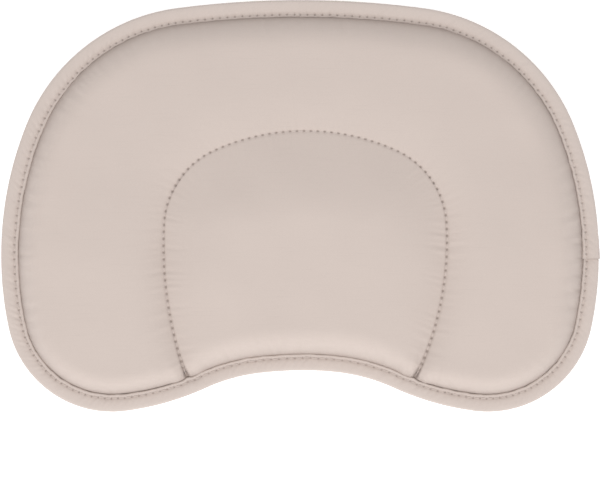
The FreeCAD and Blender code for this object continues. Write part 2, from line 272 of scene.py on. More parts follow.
view = dict(width=260.9, centreY=-14.6, height=1600.0, focusHeight=12.0, sensor=36.0)
camera = bpy.data.cameras.new("camera")
camera.sensor_width = view["sensor"]
camera.lens = view["sensor"] * (view["height"] - view["focusHeight"]) / view["width"]
camera.clip_end = 10
cameraObject = bpy.data.objects.new("camera", camera)
cameraObject.location = (0, view["centreY"] * mm, view["height"] * mm)
scene.collection.objects.link(cameraObject)
scene.camera = cameraObject

scene.view_settings.view_transform = "Standard"
scene.view_settings.look = "None"

studio = dict(
    sky=(0.97, 0.985, 1.0), skyStrength=0.80,
    lights=[
        dict(name="frontSoftbox", place=(-0.12, -1.10, 1.35), size=(1.2, 0.7), watts=15.0),
        dict(name="topSoftbox", place=(-0.02, 0.12, 1.75), size=(1.4, 1.1), watts=5.0),
    ],
)
world = bpy.data.worlds.new("studio")
world.use_nodes = True
background = world.node_tree.nodes["Background"].inputs
background["Color"].default_value = (*studio["sky"], 1)
background["Strength"].default_value = studio["skyStrength"]
scene.world = world
for lamp in studio["lights"]:
    light = bpy.data.lights.new(lamp["name"], "AREA")
    light.shape = "RECTANGLE"
    light.size, light.size_y = lamp["size"]
    light.energy = lamp["watts"]
    lightObject = bpy.data.objects.new(lamp["name"], light)
    place = np.array(lamp["place"])
    lightObject.location = place
    lightObject.rotation_euler = (math.atan2(math.hypot(place[0], place[1]), place[2]), 0,
                                  math.atan2(place[0], -place[1]))
    scene.collection.objects.link(lightObject)
print("camera and lights placed")


def addNode(tree, kind, links=None, **settings):
    # links maps a socket's name or number to a value or to another node's output
    node = tree.nodes.new("ShaderNode" + kind)
    for key, value in settings.items():
        setattr(node, key, value)
    for key, value in (links or {}).items():
        socket = node.inputs[key]
        if isinstance(value, bpy.types.NodeSocket):
            tree.links.new(value, socket)
        else:
            socket.default_value = value
    return node


def math2(operation, a, b=0.0):
    # goes in the tree of whichever of the two is a socket
    tree = (a if isinstance(a, bpy.types.NodeSocket) else b).id_data
    return addNode(tree, "Math", {0: a, 1: b}, operation=operation).outputs[0]


def times(a, b):
    return math2("MULTIPLY", a, b)


def plus(a, b):
    return math2("ADD", a, b)


def minus(a, b):
    return math2("SUBTRACT", a, b)


socketKinds = {type(None): "NodeSocketVector", tuple: "NodeSocketColor", float: "NodeSocketFloat"}


def newGroup(name, inputs, outputs):
    # a socket's kind follows from its value: none for a vector, four numbers for a colour
    tree = bpy.data.node_groups.new(name, "ShaderNodeTree")
    for label, value in inputs.items():
        socket = tree.interface.new_socket(name=label, in_out="INPUT", socket_type=socketKinds[type(value)])
        if value is not None:
            socket.default_value = value
    for label, value in outputs.items():
        tree.interface.new_socket(name=label, in_out="OUTPUT", socket_type=socketKinds[type(value)])
    return tree, tree.nodes.new("NodeGroupInput").outputs, tree.nodes.new("NodeGroupOutput").inputs


def makeWeaveGroup():
    # five-end sateen: each weft thread floats over four warps, and the crossing moves two warps on in each row
    tree, given, out = newGroup(
        "sateenWeave", {"Vector": None, "Thread Width": 0.0003}, {"Height": 0.0, "Crossing": 0.0})
    parts = addNode(tree, "SeparateXYZ", {0: given["Vector"]})
    wander = addNode(tree, "TexNoise", {"Vector": given["Vector"], "Scale": 900.0, "Detail": 1.0})
    sway = times(minus(wander.outputs["Fac"], 0.5), 0.5)
    across = plus(math2("DIVIDE", parts.outputs[0], given["Thread Width"]), sway)
    along = plus(math2("DIVIDE", parts.outputs[1], given["Thread Width"]), sway)
    row = math2("FLOOR", along)
    warpBulge = math2("SINE", times(math2("FRACT", across), math.pi))
    weftBulge = math2("SINE", times(math2("FRACT", along), math.pi))
    shifted = plus(math2("FLOOR", across), times(row, 2.0))
    place = math2("FRACT", math2("DIVIDE", shifted, 5.0))
    crossing = math2("LESS_THAN", place, 0.15)
    floatPart = times(minus(1.0, crossing), weftBulge)
    crossPart = times(crossing, times(warpBulge, 0.7))
    tree.links.new(plus(floatPart, crossPart), out["Height"])
    tree.links.new(crossing, out["Crossing"])
    return tree


def fadeOut(value, reach):
    # 1 where the value is 0, falling smoothly to 0 at reach
    links = {"Value": value, "From Min": 0.0, "From Max": reach, "To Min": 1.0, "To Max": 0.0}
    return addNode(value.id_data, "MapRange", links, interpolation_type="SMOOTHSTEP").outputs[0]


def makeHoleGroup():
    # needle holes in a row: UV's x counts stitches, and y is the distance from the row in millimetres
    tree, given, out = newGroup(
        "needleHoles", {"UV": None, "Row": 0.0, "Pitch": 3.3, "Radius": 0.3, "Stretch": 1.0, "Furrow": 0.6},
        {"Hole": 0.0, "Furrow": 0.0})
    parts = addNode(tree, "SeparateXYZ", {0: given["UV"]})
    fromHole = minus(math2("FRACT", plus(parts.outputs[0], 0.5)), 0.5)
    alongGap = math2("DIVIDE", times(fromHole, given["Pitch"]), given["Stretch"])
    offRow = minus(parts.outputs[1], given["Row"])
    away = math2("SQRT", plus(times(alongGap, alongGap), times(offRow, offRow)))
    tree.links.new(fadeOut(away, given["Radius"]), out["Hole"])
    tree.links.new(fadeOut(math2("ABSOLUTE", offRow), given["Furrow"]), out["Furrow"])
    return tree


def makeToneGroup():
    # a base colour made uneven by broad soft patches, fine fibre mottle and the odd thick thread
    tree, given, out = newGroup(
        "clothTone",
        {"Vector": None, "Colour": (0.7, 0.6, 0.55, 1), "Patches": 0.03, "Mottle": 0.05, "Slubs": 0.05},
        {"Colour": (), "Mottle": 0.0})
    broad = addNode(tree, "TexNoise", {"Vector": given["Vector"], "Scale": 22.0, "Detail": 2.0})
    fine = addNode(tree, "TexNoise", {"Vector": given["Vector"], "Scale": 1400.0, "Detail": 3.0,
                                      "Roughness": 0.65})
    stretch = addNode(tree, "Mapping", {"Vector": given["Vector"], "Scale": (60.0, 2200.0, 60.0)})
    slub = addNode(tree, "TexNoise", {"Vector": stretch.outputs[0], "Scale": 1.0, "Detail": 2.0})
    slubMask = addNode(tree, "MapRange", {"Value": slub.outputs["Fac"], "From Min": 0.58, "From Max": 0.75})
    total = times(minus(broad.outputs["Fac"], 0.5), given["Patches"])
    mottled = times(minus(fine.outputs["Fac"], 0.5), given["Mottle"])
    slubbed = times(slubMask.outputs[0], given["Slubs"])
    level = plus(plus(total, mottled), minus(1.0, slubbed))
    scaled = addNode(tree, "VectorMath", {0: given["Colour"], "Scale": level}, operation="SCALE")
    tree.links.new(scaled.outputs[0], out["Colour"])
    tree.links.new(fine.outputs["Fac"], out["Mottle"])
    return tree


weaveGroup, holeGroup, toneGroup = makeWeaveGroup(), makeHoleGroup(), makeToneGroup()


def useGroup(tree, group, links):
    return addNode(tree, "Group", links, node_tree=group)


def newMaterial(name, roughness, sheen, specular):
    material = bpy.data.materials.new(name)
    material.use_nodes = True
    tree = material.node_tree
    shader = tree.nodes["Principled BSDF"]
    constants = {"Roughness": roughness, "Specular IOR Level": specular, "Sheen Weight": sheen,
                 "Sheen Roughness": 0.45}
    for socket, value in constants.items():
        shader.inputs[socket].default_value = value
    return material, tree, shader


def darken(colour, mask, amount, tint=(0.30, 0.24, 0.21, 1)):
    # colour moves towards the tint where the mask is up, by amount at most
    tree = colour.id_data
    mix = addNode(tree, "Mix", {"Factor": times(mask, amount)}, data_type="RGBA")
    tree.links.new(colour, mix.inputs["A"])
    mix.inputs["B"].default_value = tint
    return mix.outputs["Result"]


def readUv(tree, name):
    return addNode(tree, "UVMap", uv_map=name).outputs[0]


def readMask(tree, name):
    return addNode(tree, "Attribute", attribute_name=name).outputs["Fac"]


def makeClothMaterial(name, s):
    # sateen, with needle holes along a row given by UV map "row", and painted shade along the creases by attribute
    # "crease"
    material, tree, shader = newMaterial(name, s["roughness"], s["sheen"], s["specular"])
    cloth = readUv(tree, "cloth")
    row = readUv(tree, "row")
    turned = addNode(tree, "Mapping", {"Vector": cloth, "Rotation": (0, 0, math.radians(s["turn"]))})
    weave = useGroup(tree, weaveGroup, {"Vector": turned.outputs[0], "Thread Width": s["threadWidth"] * mm})
    tone = useGroup(tree, toneGroup, {"Vector": turned.outputs[0], "Colour": (*s["colour"], 1),
                                      "Patches": s["patches"], "Mottle": s["mottle"], "Slubs": s["slubs"]})
    holes = useGroup(tree, holeGroup, {"UV": row, "Row": s["rowAt"], "Pitch": s["pitch"], "Radius": s["holeRadius"],
                                       "Stretch": s["holeStretch"], "Furrow": s["furrow"]})
    crease = readMask(tree, "crease")
    colour = darken(tone.outputs["Colour"], weave.outputs["Crossing"], s["crossingTone"])
    # painted shade in the stitch row's furrow and in the needle holes
    colour = darken(colour, holes.outputs["Furrow"], s["furrowTone"])
    holeShare = readMask(tree, "holeShare")
    hole = times(holes.outputs["Hole"], holeShare)
    colour = darken(colour, hole, s["holeTone"])
    # painted shade along the creases
    colour = darken(colour, crease, s["creaseShade"])
    tree.links.new(colour, shader.inputs["Base Color"])
    rough = addNode(tree, "MapRange", {"Value": tone.outputs["Mottle"], "To Min": s["roughness"] - 0.05,
                                       "To Max": s["roughness"] + 0.05})
    tree.links.new(rough.outputs[0], shader.inputs["Roughness"])
    height = plus(times(weave.outputs["Height"], s["weaveDepth"]), times(tone.outputs["Mottle"], s["fibreDepth"]))
    height = minus(height, times(holes.outputs["Hole"], s["holeDepth"]))
    bump = addNode(tree, "Bump", {"Height": height, "Distance": mm, "Strength": 1.0})
    tree.links.new(bump.outputs[0], shader.inputs["Normal"])
    return material


# the hole, furrow and crease tones set how strong their painted shade is
panelFinish = dict(
    colour=(0.532, 0.450, 0.406), roughness=0.74, sheen=0.12, specular=0.30, turn=0.0, threadWidth=0.30,
    patches=0.05, mottle=0.10, slubs=0.035, rowAt=0.0, pitch=3.0, holeRadius=0.52, holeStretch=1.9, furrow=0.9,
    crossingTone=0.05, furrowTone=0.0, holeTone=0.95, creaseShade=0.90,
    weaveDepth=0.030, fibreDepth=0.05, holeDepth=0.25,
)
backFinish = dict(panelFinish, creaseShade=0.55, holeTone=0.0, holeDepth=0.0)
tapeFinish = dict(
    panelFinish, colour=(0.532, 0.454, 0.412), turn=45.0, pitch=3.3, holeRadius=0.60, holeStretch=1.1,
    furrow=0.8, furrowTone=0.04, patches=0.06, creaseShade=0.55,
)
panelMaterial = makeClothMaterial("frontCloth", panelFinish)
backMaterial = makeClothMaterial("backCloth", backFinish)
tapeMaterial = makeClothMaterial("bindingTape", tapeFinish)


def makeThreadMaterial(name, s):
    # two plies laid together: slanting bands of the UV map, which runs along and round each stitch
    material, tree, shader = newMaterial(name, 0.55, 0.25, 0.4)
    uv = readUv(tree, "ply")
    parts = addNode(tree, "SeparateXYZ", {0: uv})
    turnsPart = times(parts.outputs[0], s["twists"])
    phase = times(plus(turnsPart, times(parts.outputs[1], 2.0)), 2 * math.pi)
    ply = math2("ABSOLUTE", math2("SINE", times(phase, 0.5)))
    coordinates = addNode(tree, "TexCoord").outputs["Object"]
    tone = useGroup(tree, toneGroup, {"Vector": coordinates, "Colour": (*s["colour"], 1), "Patches": 0.1,
                                      "Mottle": 0.12, "Slubs": 0.0})
    # painted shade in the grooves between the plies
    groove = minus(1.0, ply)
    tree.links.new(darken(tone.outputs["Colour"], times(groove, groove), 0.45), shader.inputs["Base Color"])
    bump = addNode(tree, "Bump", {"Height": times(ply, s["plyDepth"]), "Distance": mm})
    tree.links.new(bump.outputs[0], shader.inputs["Normal"])
    return material


threadFinish = dict(colour=(0.535, 0.452, 0.408), twists=3.0, plyDepth=0.05)
threadMaterial = makeThreadMaterial("sewingThread", threadFinish)


def makeFillMaterial(name, colour, scale):
    # matted fibres: a fine distorted noise as the height, under an uneven colour
    material, tree, shader = newMaterial(name, 0.9, 0.3, 0.2)
    coordinates = addNode(tree, "TexCoord").outputs["Object"]
    tone = useGroup(tree, toneGroup, {"Vector": coordinates, "Colour": (*colour, 1), "Patches": 0.08,
                                      "Mottle": 0.15, "Slubs": 0.12})
    fibres = addNode(tree, "TexNoise", {"Vector": coordinates, "Scale": scale, "Detail": 6.0, "Roughness": 0.7,
                                        "Distortion": 1.5})
    tree.links.new(tone.outputs["Colour"], shader.inputs["Base Color"])
    bump = addNode(tree, "Bump", {"Height": fibres.outputs["Fac"], "Distance": 0.6 * mm})
    tree.links.new(bump.outputs[0], shader.inputs["Normal"])
    return material


fillMaterial = makeFillMaterial("fibreFilling", (0.86, 0.86, 0.84), 420.0)
liningMaterial = makeFillMaterial("liningCloth", (0.80, 0.80, 0.78), 1600.0)
hiddenThread = makeFillMaterial("closingThread", threadFinish["colour"], 2600.0)


heights = dict(
    tapeMiddle=0.5 * (lowTape.z + highTape.z) / mm, hem=0.75, power=2.8,
    seamRise=8.4, seamRoll=15.5, seamRollLeft=12.0, seamRollFront=9.0, edgeRoll=12.0,
    rimRiseTop=1.6, rimRiseLeg=4.6, rimRollTop=20.0, rimRollLeg=17.0, rimPower=2.2,
    centreRise=7.4, centreLength=58.0, centreRollTop=60.0, centreRollLeg=30.0, centrePower=2.0, centreEdgeRoll=13.0,
    archDip=0.9,
    liningRise=8.2, liningRoll=22.0, liningPower=2.4,
    backFall=12.6, backRoll=23.0, backPower=2.2, backFloor=0.15, backBend=2.2, cloth=0.6,
)
tapeStyle = dict(
    width=7.2, rowShare=0.775, crownRow=0.075, crownTilt=0.14, pitch=3.3, joinY=-23.0, lapLength=11.0, lapRise=0.5,
    crownExtra=0.25, sideExtra=0.45, footExtra=0.60, footExtraReach=1.6, footPinch=0.30, footPinchReach=6.0,
    afterLap=0.45, afterLapReach=5.0, edgeWobble=0.12, stepAfterLap=0.10, stepReach=4.0,
    sink=0.30, sinkWidth=0.75, holeSink=0.34, holeWidth=0.6, wobble=0.10,
    scallop=0.07, scallopAt=1.1, scallopWidth=0.8, innerScallop=0.06, innerAt=-1.5, innerWidth=1.0,
    drag=0.085, dragSlant=0.7, dragWidth=0.34, lipShade=0.7, lipWidth=0.45, lapShade=0.6,
)
# where each share below goes from 0 to 1, along x or y
ramps = dict(
    crown=(20, 75), left=(-60, -115), leftBelow=(45, 75), lobeOut=(55, 85), lobeDown=(-50, -80),
    front=(-42, -72), leftSeam=(-60, -112), leftSeamBelow=(25, 65), lowLegs=(20, -10),
    hollowDown=(-45, -62), hollowAcross=(62, 40), lowerCover=(-40, -70), archLegs=(25, -5),
)


def ramp(name, value):
    return smooth(*ramps[name], value)


archSteps = np.linspace(0, arch.total, 3000)
archInside, archEdge = outline.nearest(arch.at(archSteps)[0])
footPlaces = archEdge[np.flatnonzero(archInside > tapeStyle["width"])[[0, -1]]]


def nearFoot(s, reach):
    # 1 where the quilting line runs under the tape, falling away along the edge on both sides
    return sum(bell(s - foot, reach) for foot in footPlaces)


def visibleWidth(s):
    # the tape shows wider over the crown, down the left side and round the lobes, and narrower about each foot
    t = tapeStyle
    s = np.mod(s, outline.total)
    place, _ = outline.at(s)
    x, y = place[..., 0], place[..., 1]
    left = ramp("left", x) * (1 - ramp("leftBelow", y))
    lobes = ramp("lobeOut", np.abs(x)) * ramp("lobeDown", y)
    foot = t["footExtra"] * nearFoot(s, t["footExtraReach"]) - t["footPinch"] * nearFoot(s, t["footPinchReach"])
    return t["width"] + t["crownExtra"] * ramp("crown", y) + t["sideExtra"] * np.maximum(left, lobes) + foot


def crownShare(s):
    # 1 along the crown and 0 elsewhere
    return ramp("crown", outline.at(np.mod(s, outline.total))[0][..., 1])


def rowShare(s):
    # where the stitch row lies, as a share of the tape's width: nearer the inner edge over the crown
    return tapeStyle["rowShare"] + tapeStyle["crownRow"] * crownShare(s)


def seamHeight(points, fromEdge):
    # the front along the quilting line, and as it would be everywhere with the line's pull alone
    h = heights
    left = ramp("leftSeam", points[:, 0]) * (1 - ramp("leftSeamBelow", points[:, 1]))
    roll = h["seamRoll"] + (h["seamRollLeft"] - h["seamRoll"]) * left
    roll = roll + (h["seamRollFront"] - roll) * ramp("front", points[:, 1])
    return h["tapeMiddle"] + h["hem"] + h["seamRise"] * swell(fromEdge, roll, h["power"])


def archUp(points):
    # 0 down the legs of the quilting line and 1 at its top
    return smooth(archShape["topY"] - heights["centreLength"], archShape["topY"], points[:, 1])


def quiltHeight(points, fromEdge):
    # the quilting line is pulled lower at the top of the arch than down its legs
    h = heights
    return seamHeight(points, fromEdge) - h["archDip"] * archUp(points) * swell(fromEdge, h["edgeRoll"], h["power"])


def frontHeight(points, fromEdge, fromArch):
    # seam height, plus the rim's or the centre's rise times the swell from the edge and from the quilting line
    h = heights
    up = archUp(points)
    rimRoll = h["rimRollLeg"] + (h["rimRollTop"] - h["rimRollLeg"]) * up
    centreRoll = h["centreRollLeg"] + (h["centreRollTop"] - h["centreRollLeg"]) * up
    fromSides = swell(fromEdge, h["edgeRoll"], h["power"])
    dip = h["archDip"] * up
    rimRise = h["rimRiseLeg"] + (h["rimRiseTop"] - h["rimRiseLeg"]) * up
    rim = (rimRise + dip) * fromSides * swell(-fromArch, rimRoll, h["rimPower"])
    fromHollow = swell(fromEdge, h["centreEdgeRoll"], h["power"])
    centre = (h["centreRise"] + dip) * fromHollow * swell(fromArch, centreRoll, h["centrePower"])
    return quiltHeight(points, fromEdge) + np.where(fromArch > 0, centre, rim)


def backHeight(points, fromEdge):
    # falls from the tape and is pressed flat where it rests: a soft maximum of the fall and the floor
    h = heights
    fall = h["tapeMiddle"] - h["hem"] - h["backFall"] * swell(fromEdge, h["backRoll"], h["backPower"])
    return h["backFloor"] + np.logaddexp(0, (fall - h["backFloor"]) * h["backBend"]) / h["backBend"]


def spread(count, crowd):
    # 0 to 1, with points crowded towards both ends
    t = np.linspace(0, 1, count)
    return (1 - crowd) * t + crowd * (1 - np.cos(math.pi * t)) / 2


def flatPanel(inset, top, leg, rim):
    # rim: straight lines from the arch out to the edge; centre: a patch between four curves (Coons)
    s = np.linspace(0, arch.total, 4000)
    inside, edgePlace = outline.nearest(arch.at(s)[0])
    within = np.flatnonzero(inside > inset)
    first, last = s[within[0]], s[within[-1]]
    edgeFirst, edgeLast = edgePlace[within[0]], edgePlace[within[-1]]
    shoulder = abs(archRight[0][3]) * archRight[0][1] + abs(archRight[1][3]) * archRight[1][1] * 0.5
    middle = sum(abs(arc[3]) * arc[1] for arc in archLeft)
    legTimes, topTimes = spread(leg, 0.15), spread(top, 0.0)
    leftS = first + (middle - shoulder - first) * legTimes
    topS = middle + shoulder * (2 * topTimes - 1)
    rightS = last + (middle + shoulder - last) * legTimes
    west, north, east = (arch.at(v)[0] for v in (leftS, topS, rightS))
    south = outline.at(edgeFirst + (edgeLast - edgeFirst) * spread(top, 0.35), np.full(top, inset))[0]
    south[0], south[-1] = west[0], east[0]
    u, v = topTimes[:, None, None], legTimes[None, :, None]
    corners = ((1 - u) * (1 - v) * south[0] + u * (1 - v) * south[-1]
               + (1 - u) * v * north[0] + u * v * north[-1])
    centre = ((1 - v) * south[:, None] + v * north[:, None] + (1 - u) * west[None] + u * east[None] - corners)
    archS = np.concatenate([leftS[:-1], topS, rightS[::-1][1:]])
    share = (archS - first) / (last - first)
    edgeS = np.mod(edgeFirst + (edgeLast + outline.total - edgeFirst) * share, outline.total)
    seam = arch.at(archS)[0]
    edge = outline.at(edgeS, np.full(len(edgeS), inset))[0]
    edge[0], edge[-1] = seam[0], seam[-1]
    rimTimes = spread(rim, 0.45)[None, :, None]
    rimPoints = seam[:, None] * (1 - rimTimes) + edge[:, None] * rimTimes
    points = np.concatenate([centre.reshape(-1, 2), rimPoints.reshape(-1, 2)])
    return weld(points, np.concatenate([
        gridFaces(top, leg), gridFaces(len(archS), rim, start=top * leg)[:, ::-1]]))


def weld(points, faces):
    # points that round to the same place become one, and faces that lose a corner become triangles
    _, keep, number = np.unique(np.round(points * 1e4).astype(np.int64), axis=0, return_index=True,
                                return_inverse=True)
    quads = number.ravel()[faces]
    same = quads == np.roll(quads, -1, 1)
    whole = ~same.any(1)
    tris = [tuple(dict.fromkeys(q)) for q in quads[~whole].tolist()]
    return points[keep], quads[whole].tolist() + [t for t in tris if len(t) == 3]


def turnUp(points, faces, up):
    # every face wound so that its normal has the sign of up, from the area of its first three corners
    a, b, c = (points[[f[k] for f in faces]] for k in (0, 1, 2))
    area = (b - a)[:, 0] * (c - a)[:, 1] - (b - a)[:, 1] * (c - a)[:, 0]
    return [f if wind * up > 0 else tuple(reversed(f)) for f, wind in zip(faces, area)]


panelGrid = dict(inset=5.0, top=300, leg=130, rim=66)
panelPoints, panelFaces = flatPanel(**panelGrid)
edgeDistance, edgeAlong = outline.nearest(panelPoints)
fromTape = edgeDistance - visibleWidth(edgeAlong)
archDistance, archAlong = arch.nearest(panelPoints)
print("panel grid: %d points" % len(panelPoints))

quilting = dict(
    pitch=3.0, sink=0.22, sinkWidth=0.55, holeSink=0.38, holeWidth=0.55, footSink=1.2, footBulge=0.7,
    pucker=0.16, puckerReach=2.4, puckerSlant=0.12, sharedPucker=0.65, ownPucker=0.6, topShare=0.35,
    edgePucker=0.44, edgeReach=2.7, edgeSlant=-0.15, lumps=0.16, footWidth=0.9, footReach=5.0,
)


def puckers(s, distance, reach, ripple, slant):
    # ripples square to a seam: they rise within reach of it and die away over about three times that
    lift = distance / reach * np.exp(1 - distance / reach)
    return ripple(s + slant * distance) * np.clip(lift, 0, 1)


def frontDetail():
    # everything finer than the swell: the sunk thread line, needle dips, puckers along both seams, soft lumps
    q = quilting
    x, y = panelPoints[:, 0], panelPoints[:, 1]
    near = np.abs(archDistance)
    fromHole = (np.mod(archAlong / q["pitch"] + 0.5, 1) - 0.5) * q["pitch"]
    line = -q["sink"] * bell(near, q["sinkWidth"]) - q["holeSink"] * bell(np.hypot(fromHole, near), q["holeWidth"])
    legs = q["topShare"] + (1 - q["topShare"]) * ramp("lowLegs", y)
    shared, outer, inner = (makeRipple(2.4, 7.5, 26) for _ in range(3))
    alongArch = puckers(archAlong, near, q["puckerReach"],
                        lambda s: q["sharedPucker"] * shared(s)
                        + q["ownPucker"] * np.where(archDistance > 0, inner(s), outer(s)), q["puckerSlant"])
    sides = 0.25 + 0.75 * smooth(70, 118, np.abs(x)) * bell(y + 20, 38)
    inward = np.maximum(fromTape, 0)
    aroundEdge = puckers(edgeAlong, inward, q["edgeReach"], makeRipple(3.2, 10.0, 30), q["edgeSlant"])
    soft = makeLumps(24, 60, 18)(panelPoints) * smooth(2, 14, fromTape)
    atTape = smooth(0.0, 1.5, fromTape)
    inFoot = fade(fromTape, q["footReach"])
    foot = -q["footSink"] * bell(near, q["footWidth"]) * inFoot + q["footBulge"] * inFoot * bell(near - 5.0, 3.0)
    return ((line + q["pucker"] * legs * alongArch) * atTape + q["edgePucker"] * sides * aroundEdge
            + q["lumps"] * soft + foot * smooth(0.0, 0.6, fromTape))


def liftAlongNormals(piece, amount):
    # moves every vertex along its own normal
    mesh = piece.data
    co, normal = np.zeros(len(mesh.vertices) * 3, np.float32), np.zeros(len(mesh.vertices) * 3, np.float32)
    mesh.vertices.foreach_get("co", co)
    mesh.vertex_normals.foreach_get("vector", normal)
    co += normal * np.repeat(amount * mm, 3).astype(np.float32)
    mesh.vertices.foreach_set("co", co)
    mesh.update()


def clothUv(fromEdge):
    # flat cloth coordinates: x and y, let out towards the edge by the length that the steep side takes up
    _, outward = outline.at(edgeAlong)
    return (panelPoints + outward * (5.0 * fade(fromEdge, 6.0))[:, None]) * mm


def finishPanel(piece, material, node, row, crease):
    setUv(piece, "cloth", clothUv(fromTape))
    setUv(piece, "row", row)
    setValue(piece, "crease", crease)
    setValue(piece, "holeShare", np.ones(len(panelPoints)))
    thick = piece.modifiers.new("clothThickness", "SOLIDIFY")
    thick.thickness = heights["cloth"] * mm
    thick.offset = -1
    declare(piece, material, node)


# painted shade beside the tape, under the crown, along the lower edge, down the quilting legs and at each foot of the
# quilting line
creases = dict(
    level=0.52, crown=0.48, left=0.18, hollow=0.34, width=0.5, crownShade=0.05, crownReach=4.0,
    lowerShade=0.16, lowerReach=5.0, seamShade=0.38, seamWidth=0.45, tone=0.61,
    pinch=1.3, pinchWidth=0.7, pinchReach=3.4, pinchShadow=0.35, pinchShadowStretch=0.45, pinchShadowReach=1.8,
)
noRow = 50.0


def creaseShare(s):
    # how dark the painted shade in the line beside the tape is: full over the crown, half as much elsewhere, faint
    # along the hollow
    place, _ = outline.at(np.mod(s, outline.total))
    x, y = place[..., 0], place[..., 1]
    c, crown = creases, ramp("crown", y)
    hollow = ramp("hollowDown", y) * ramp("hollowAcross", np.abs(x))
    return c["level"] + c["crown"] * crown + c["left"] * ramp("left", x) * (1 - crown) - c["hollow"] * hollow


def makeFrontCover():
    z = frontHeight(panelPoints, fromTape, archDistance)
    piece = addMesh("frontCover", np.column_stack([panelPoints, z]), turnUp(panelPoints, panelFaces, 1))
    liftAlongNormals(piece, frontDetail())
    c, y, inward = creases, panelPoints[:, 1], np.clip(fromTape, 0, None)
    # painted shade: a dark line beside the tape, soft bands under the crown and along the lower edge, a line beside
    # the lower quilting legs, and a dark patch where the quilting line pinches into the tape
    crease = creaseShare(edgeAlong) * fade(fromTape, c["width"])
    crease = crease + c["crownShade"] * ramp("crown", y) * fade(fromTape, c["crownReach"])
    crease += c["lowerShade"] * ramp("lowerCover", y) * fade(fromTape, c["lowerReach"])
    crease += c["seamShade"] * ramp("archLegs", y) * bell(archDistance, c["seamWidth"]) * smooth(1.0, 3.0, inward)
    pinch = c["pinch"] * bell(archDistance, c["pinchWidth"]) * fade(fromTape, c["pinchReach"])
    pinchShadow = c["pinchShadow"] * np.exp(-np.hypot(c["pinchShadowStretch"] * inward, archDistance) / c["pinchShadowReach"])
    row = np.column_stack([archAlong / quilting["pitch"], np.where(fromTape > 1.0, archDistance, noRow)])
    finishPanel(piece, panelMaterial, "front_cover", row, np.clip(c["tone"] * crease + (pinch + pinchShadow), 0, 1))
    print("front cover made")


backStyle = dict(wrinkle=0.25, reach=3.4, slant=0.1, creaseWidth=0.6)


def makeBackCover():
    z = backHeight(panelPoints, fromTape)
    piece = addMesh("backCover", np.column_stack([panelPoints, z]), turnUp(panelPoints, panelFaces, -1))
    free = smooth(0.3, 3.0, z)
    b = backStyle
    wrinkle = puckers(edgeAlong, np.maximum(fromTape, 0), b["reach"], makeRipple(3.5, 11.0, 30), b["slant"])
    liftAlongNormals(piece, b["wrinkle"] * wrinkle * free)
    # painted shade in the crease where the back cover meets the tape
    crease = fade(fromTape + 0.1, b["creaseWidth"])
    row = np.full((len(panelPoints), 2), noRow)
    finishPanel(piece, backMaterial, "back_cover", row, np.clip(crease, 0, 1))
    print("back cover made")


makeFrontCover()
makeBackCover()


# the tape's front half as (distance in from the edge as a share of the width, height over the middle)
tapeProfile = np.array([
    (0.0, 0.0), (0.0, 0.8), (0.025, 1.45), (0.08, 1.92), (0.18, 2.18), (0.33, 2.30), (0.50, 2.27), (0.66, 2.08),
    (0.775, 1.86), (0.85, 1.93), (0.93, 1.92), (0.985, 1.66), (1.0, 1.25),
])
tapeInside = np.array([
    (0.975, 0.92), (0.85, 0.85), (0.68, 0.95), (0.52, 1.16), (0.34, 1.16), (0.22, 0.9), (0.18, 0.0),
])


def smoothThrough(points, count):
    # Catmull-Rom curve through the points, evenly spaced in the points' own numbers
    padded = np.concatenate([[2 * points[0] - points[1]], points, [2 * points[-1] - points[-2]]])
    t = np.linspace(0, len(points) - 1 - 1e-9, count)
    k = t.astype(int)
    f = (t - k)[:, None]
    a, b, c, d = (padded[k + j] for j in range(4))
    return 0.5 * (2 * b + (c - a) * f + (2 * a - 5 * b + 4 * c - d) * f ** 2 + (3 * b - a - 3 * c + d) * f ** 3)


tapeCurve = smoothThrough(tapeProfile, 40)
tapeJoin = outline.nearest(np.array([[outlineShape["width"] / 2 - 1.0, tapeStyle["joinY"]]]))[1][0]
tapeRoll, tapeDrag, tapeEdge, tapeBackDrag = (makeRipple(a, b, 28) for a, b in ((9, 40), (2.6, 8), (5, 26), (2.6, 8)))


def tapeRise(s):
    # the lap: nothing, then growing over its length to the folded end, where it stops
    t = tapeStyle
    return t["lapRise"] * np.clip((s - tapeJoin + t["lapLength"]) / t["lapLength"], 0, 1) * (s <= tapeJoin)


def sinceJoin(s, reach):
    # 1 just after the lap's end, dying away along the tape
    return np.where(s > tapeJoin, fade(s - tapeJoin, reach), 0.0)


def tapeWidth(s):
    # a little narrower for a few millimetres after the lap's end
    t = tapeStyle
    return visibleWidth(s) - t["afterLap"] * sinceJoin(s, t["afterLapReach"]) + t["edgeWobble"] * tapeEdge(s)


def tapeDetail(s, share, drag):
    # the thread's furrow with deeper needle dips, the roll's uneven fullness, and slanting drag lines
    t = tapeStyle
    inset = share * t["width"]
    fromHole = (np.mod(s / t["pitch"] + 0.5, 1) - 0.5) * t["pitch"]
    fromRow = (share - rowShare(s)) * t["width"]
    pull = 0.5 + 0.5 * crownShare(s)
    dips = bell(np.hypot(fromHole, fromRow), t["holeWidth"])
    furrow = -pull * (t["sink"] * bell(fromRow, t["sinkWidth"]) + t["holeSink"] * dips)
    perStitch = np.cos(2 * math.pi * s / t["pitch"])
    scallop = t["scallop"] * perStitch * bell(fromRow - t["scallopAt"], t["scallopWidth"])
    scallop -= t["innerScallop"] * perStitch * bell(fromRow - t["innerAt"], t["innerWidth"])
    full = t["wobble"] * tapeRoll(s) * np.sin(math.pi * np.clip(share / 0.8, 0, 1))
    lines = t["drag"] * drag(s + t["dragSlant"] * inset) * bell(share - 0.5, t["dragWidth"])
    return furrow + scallop + full + lines


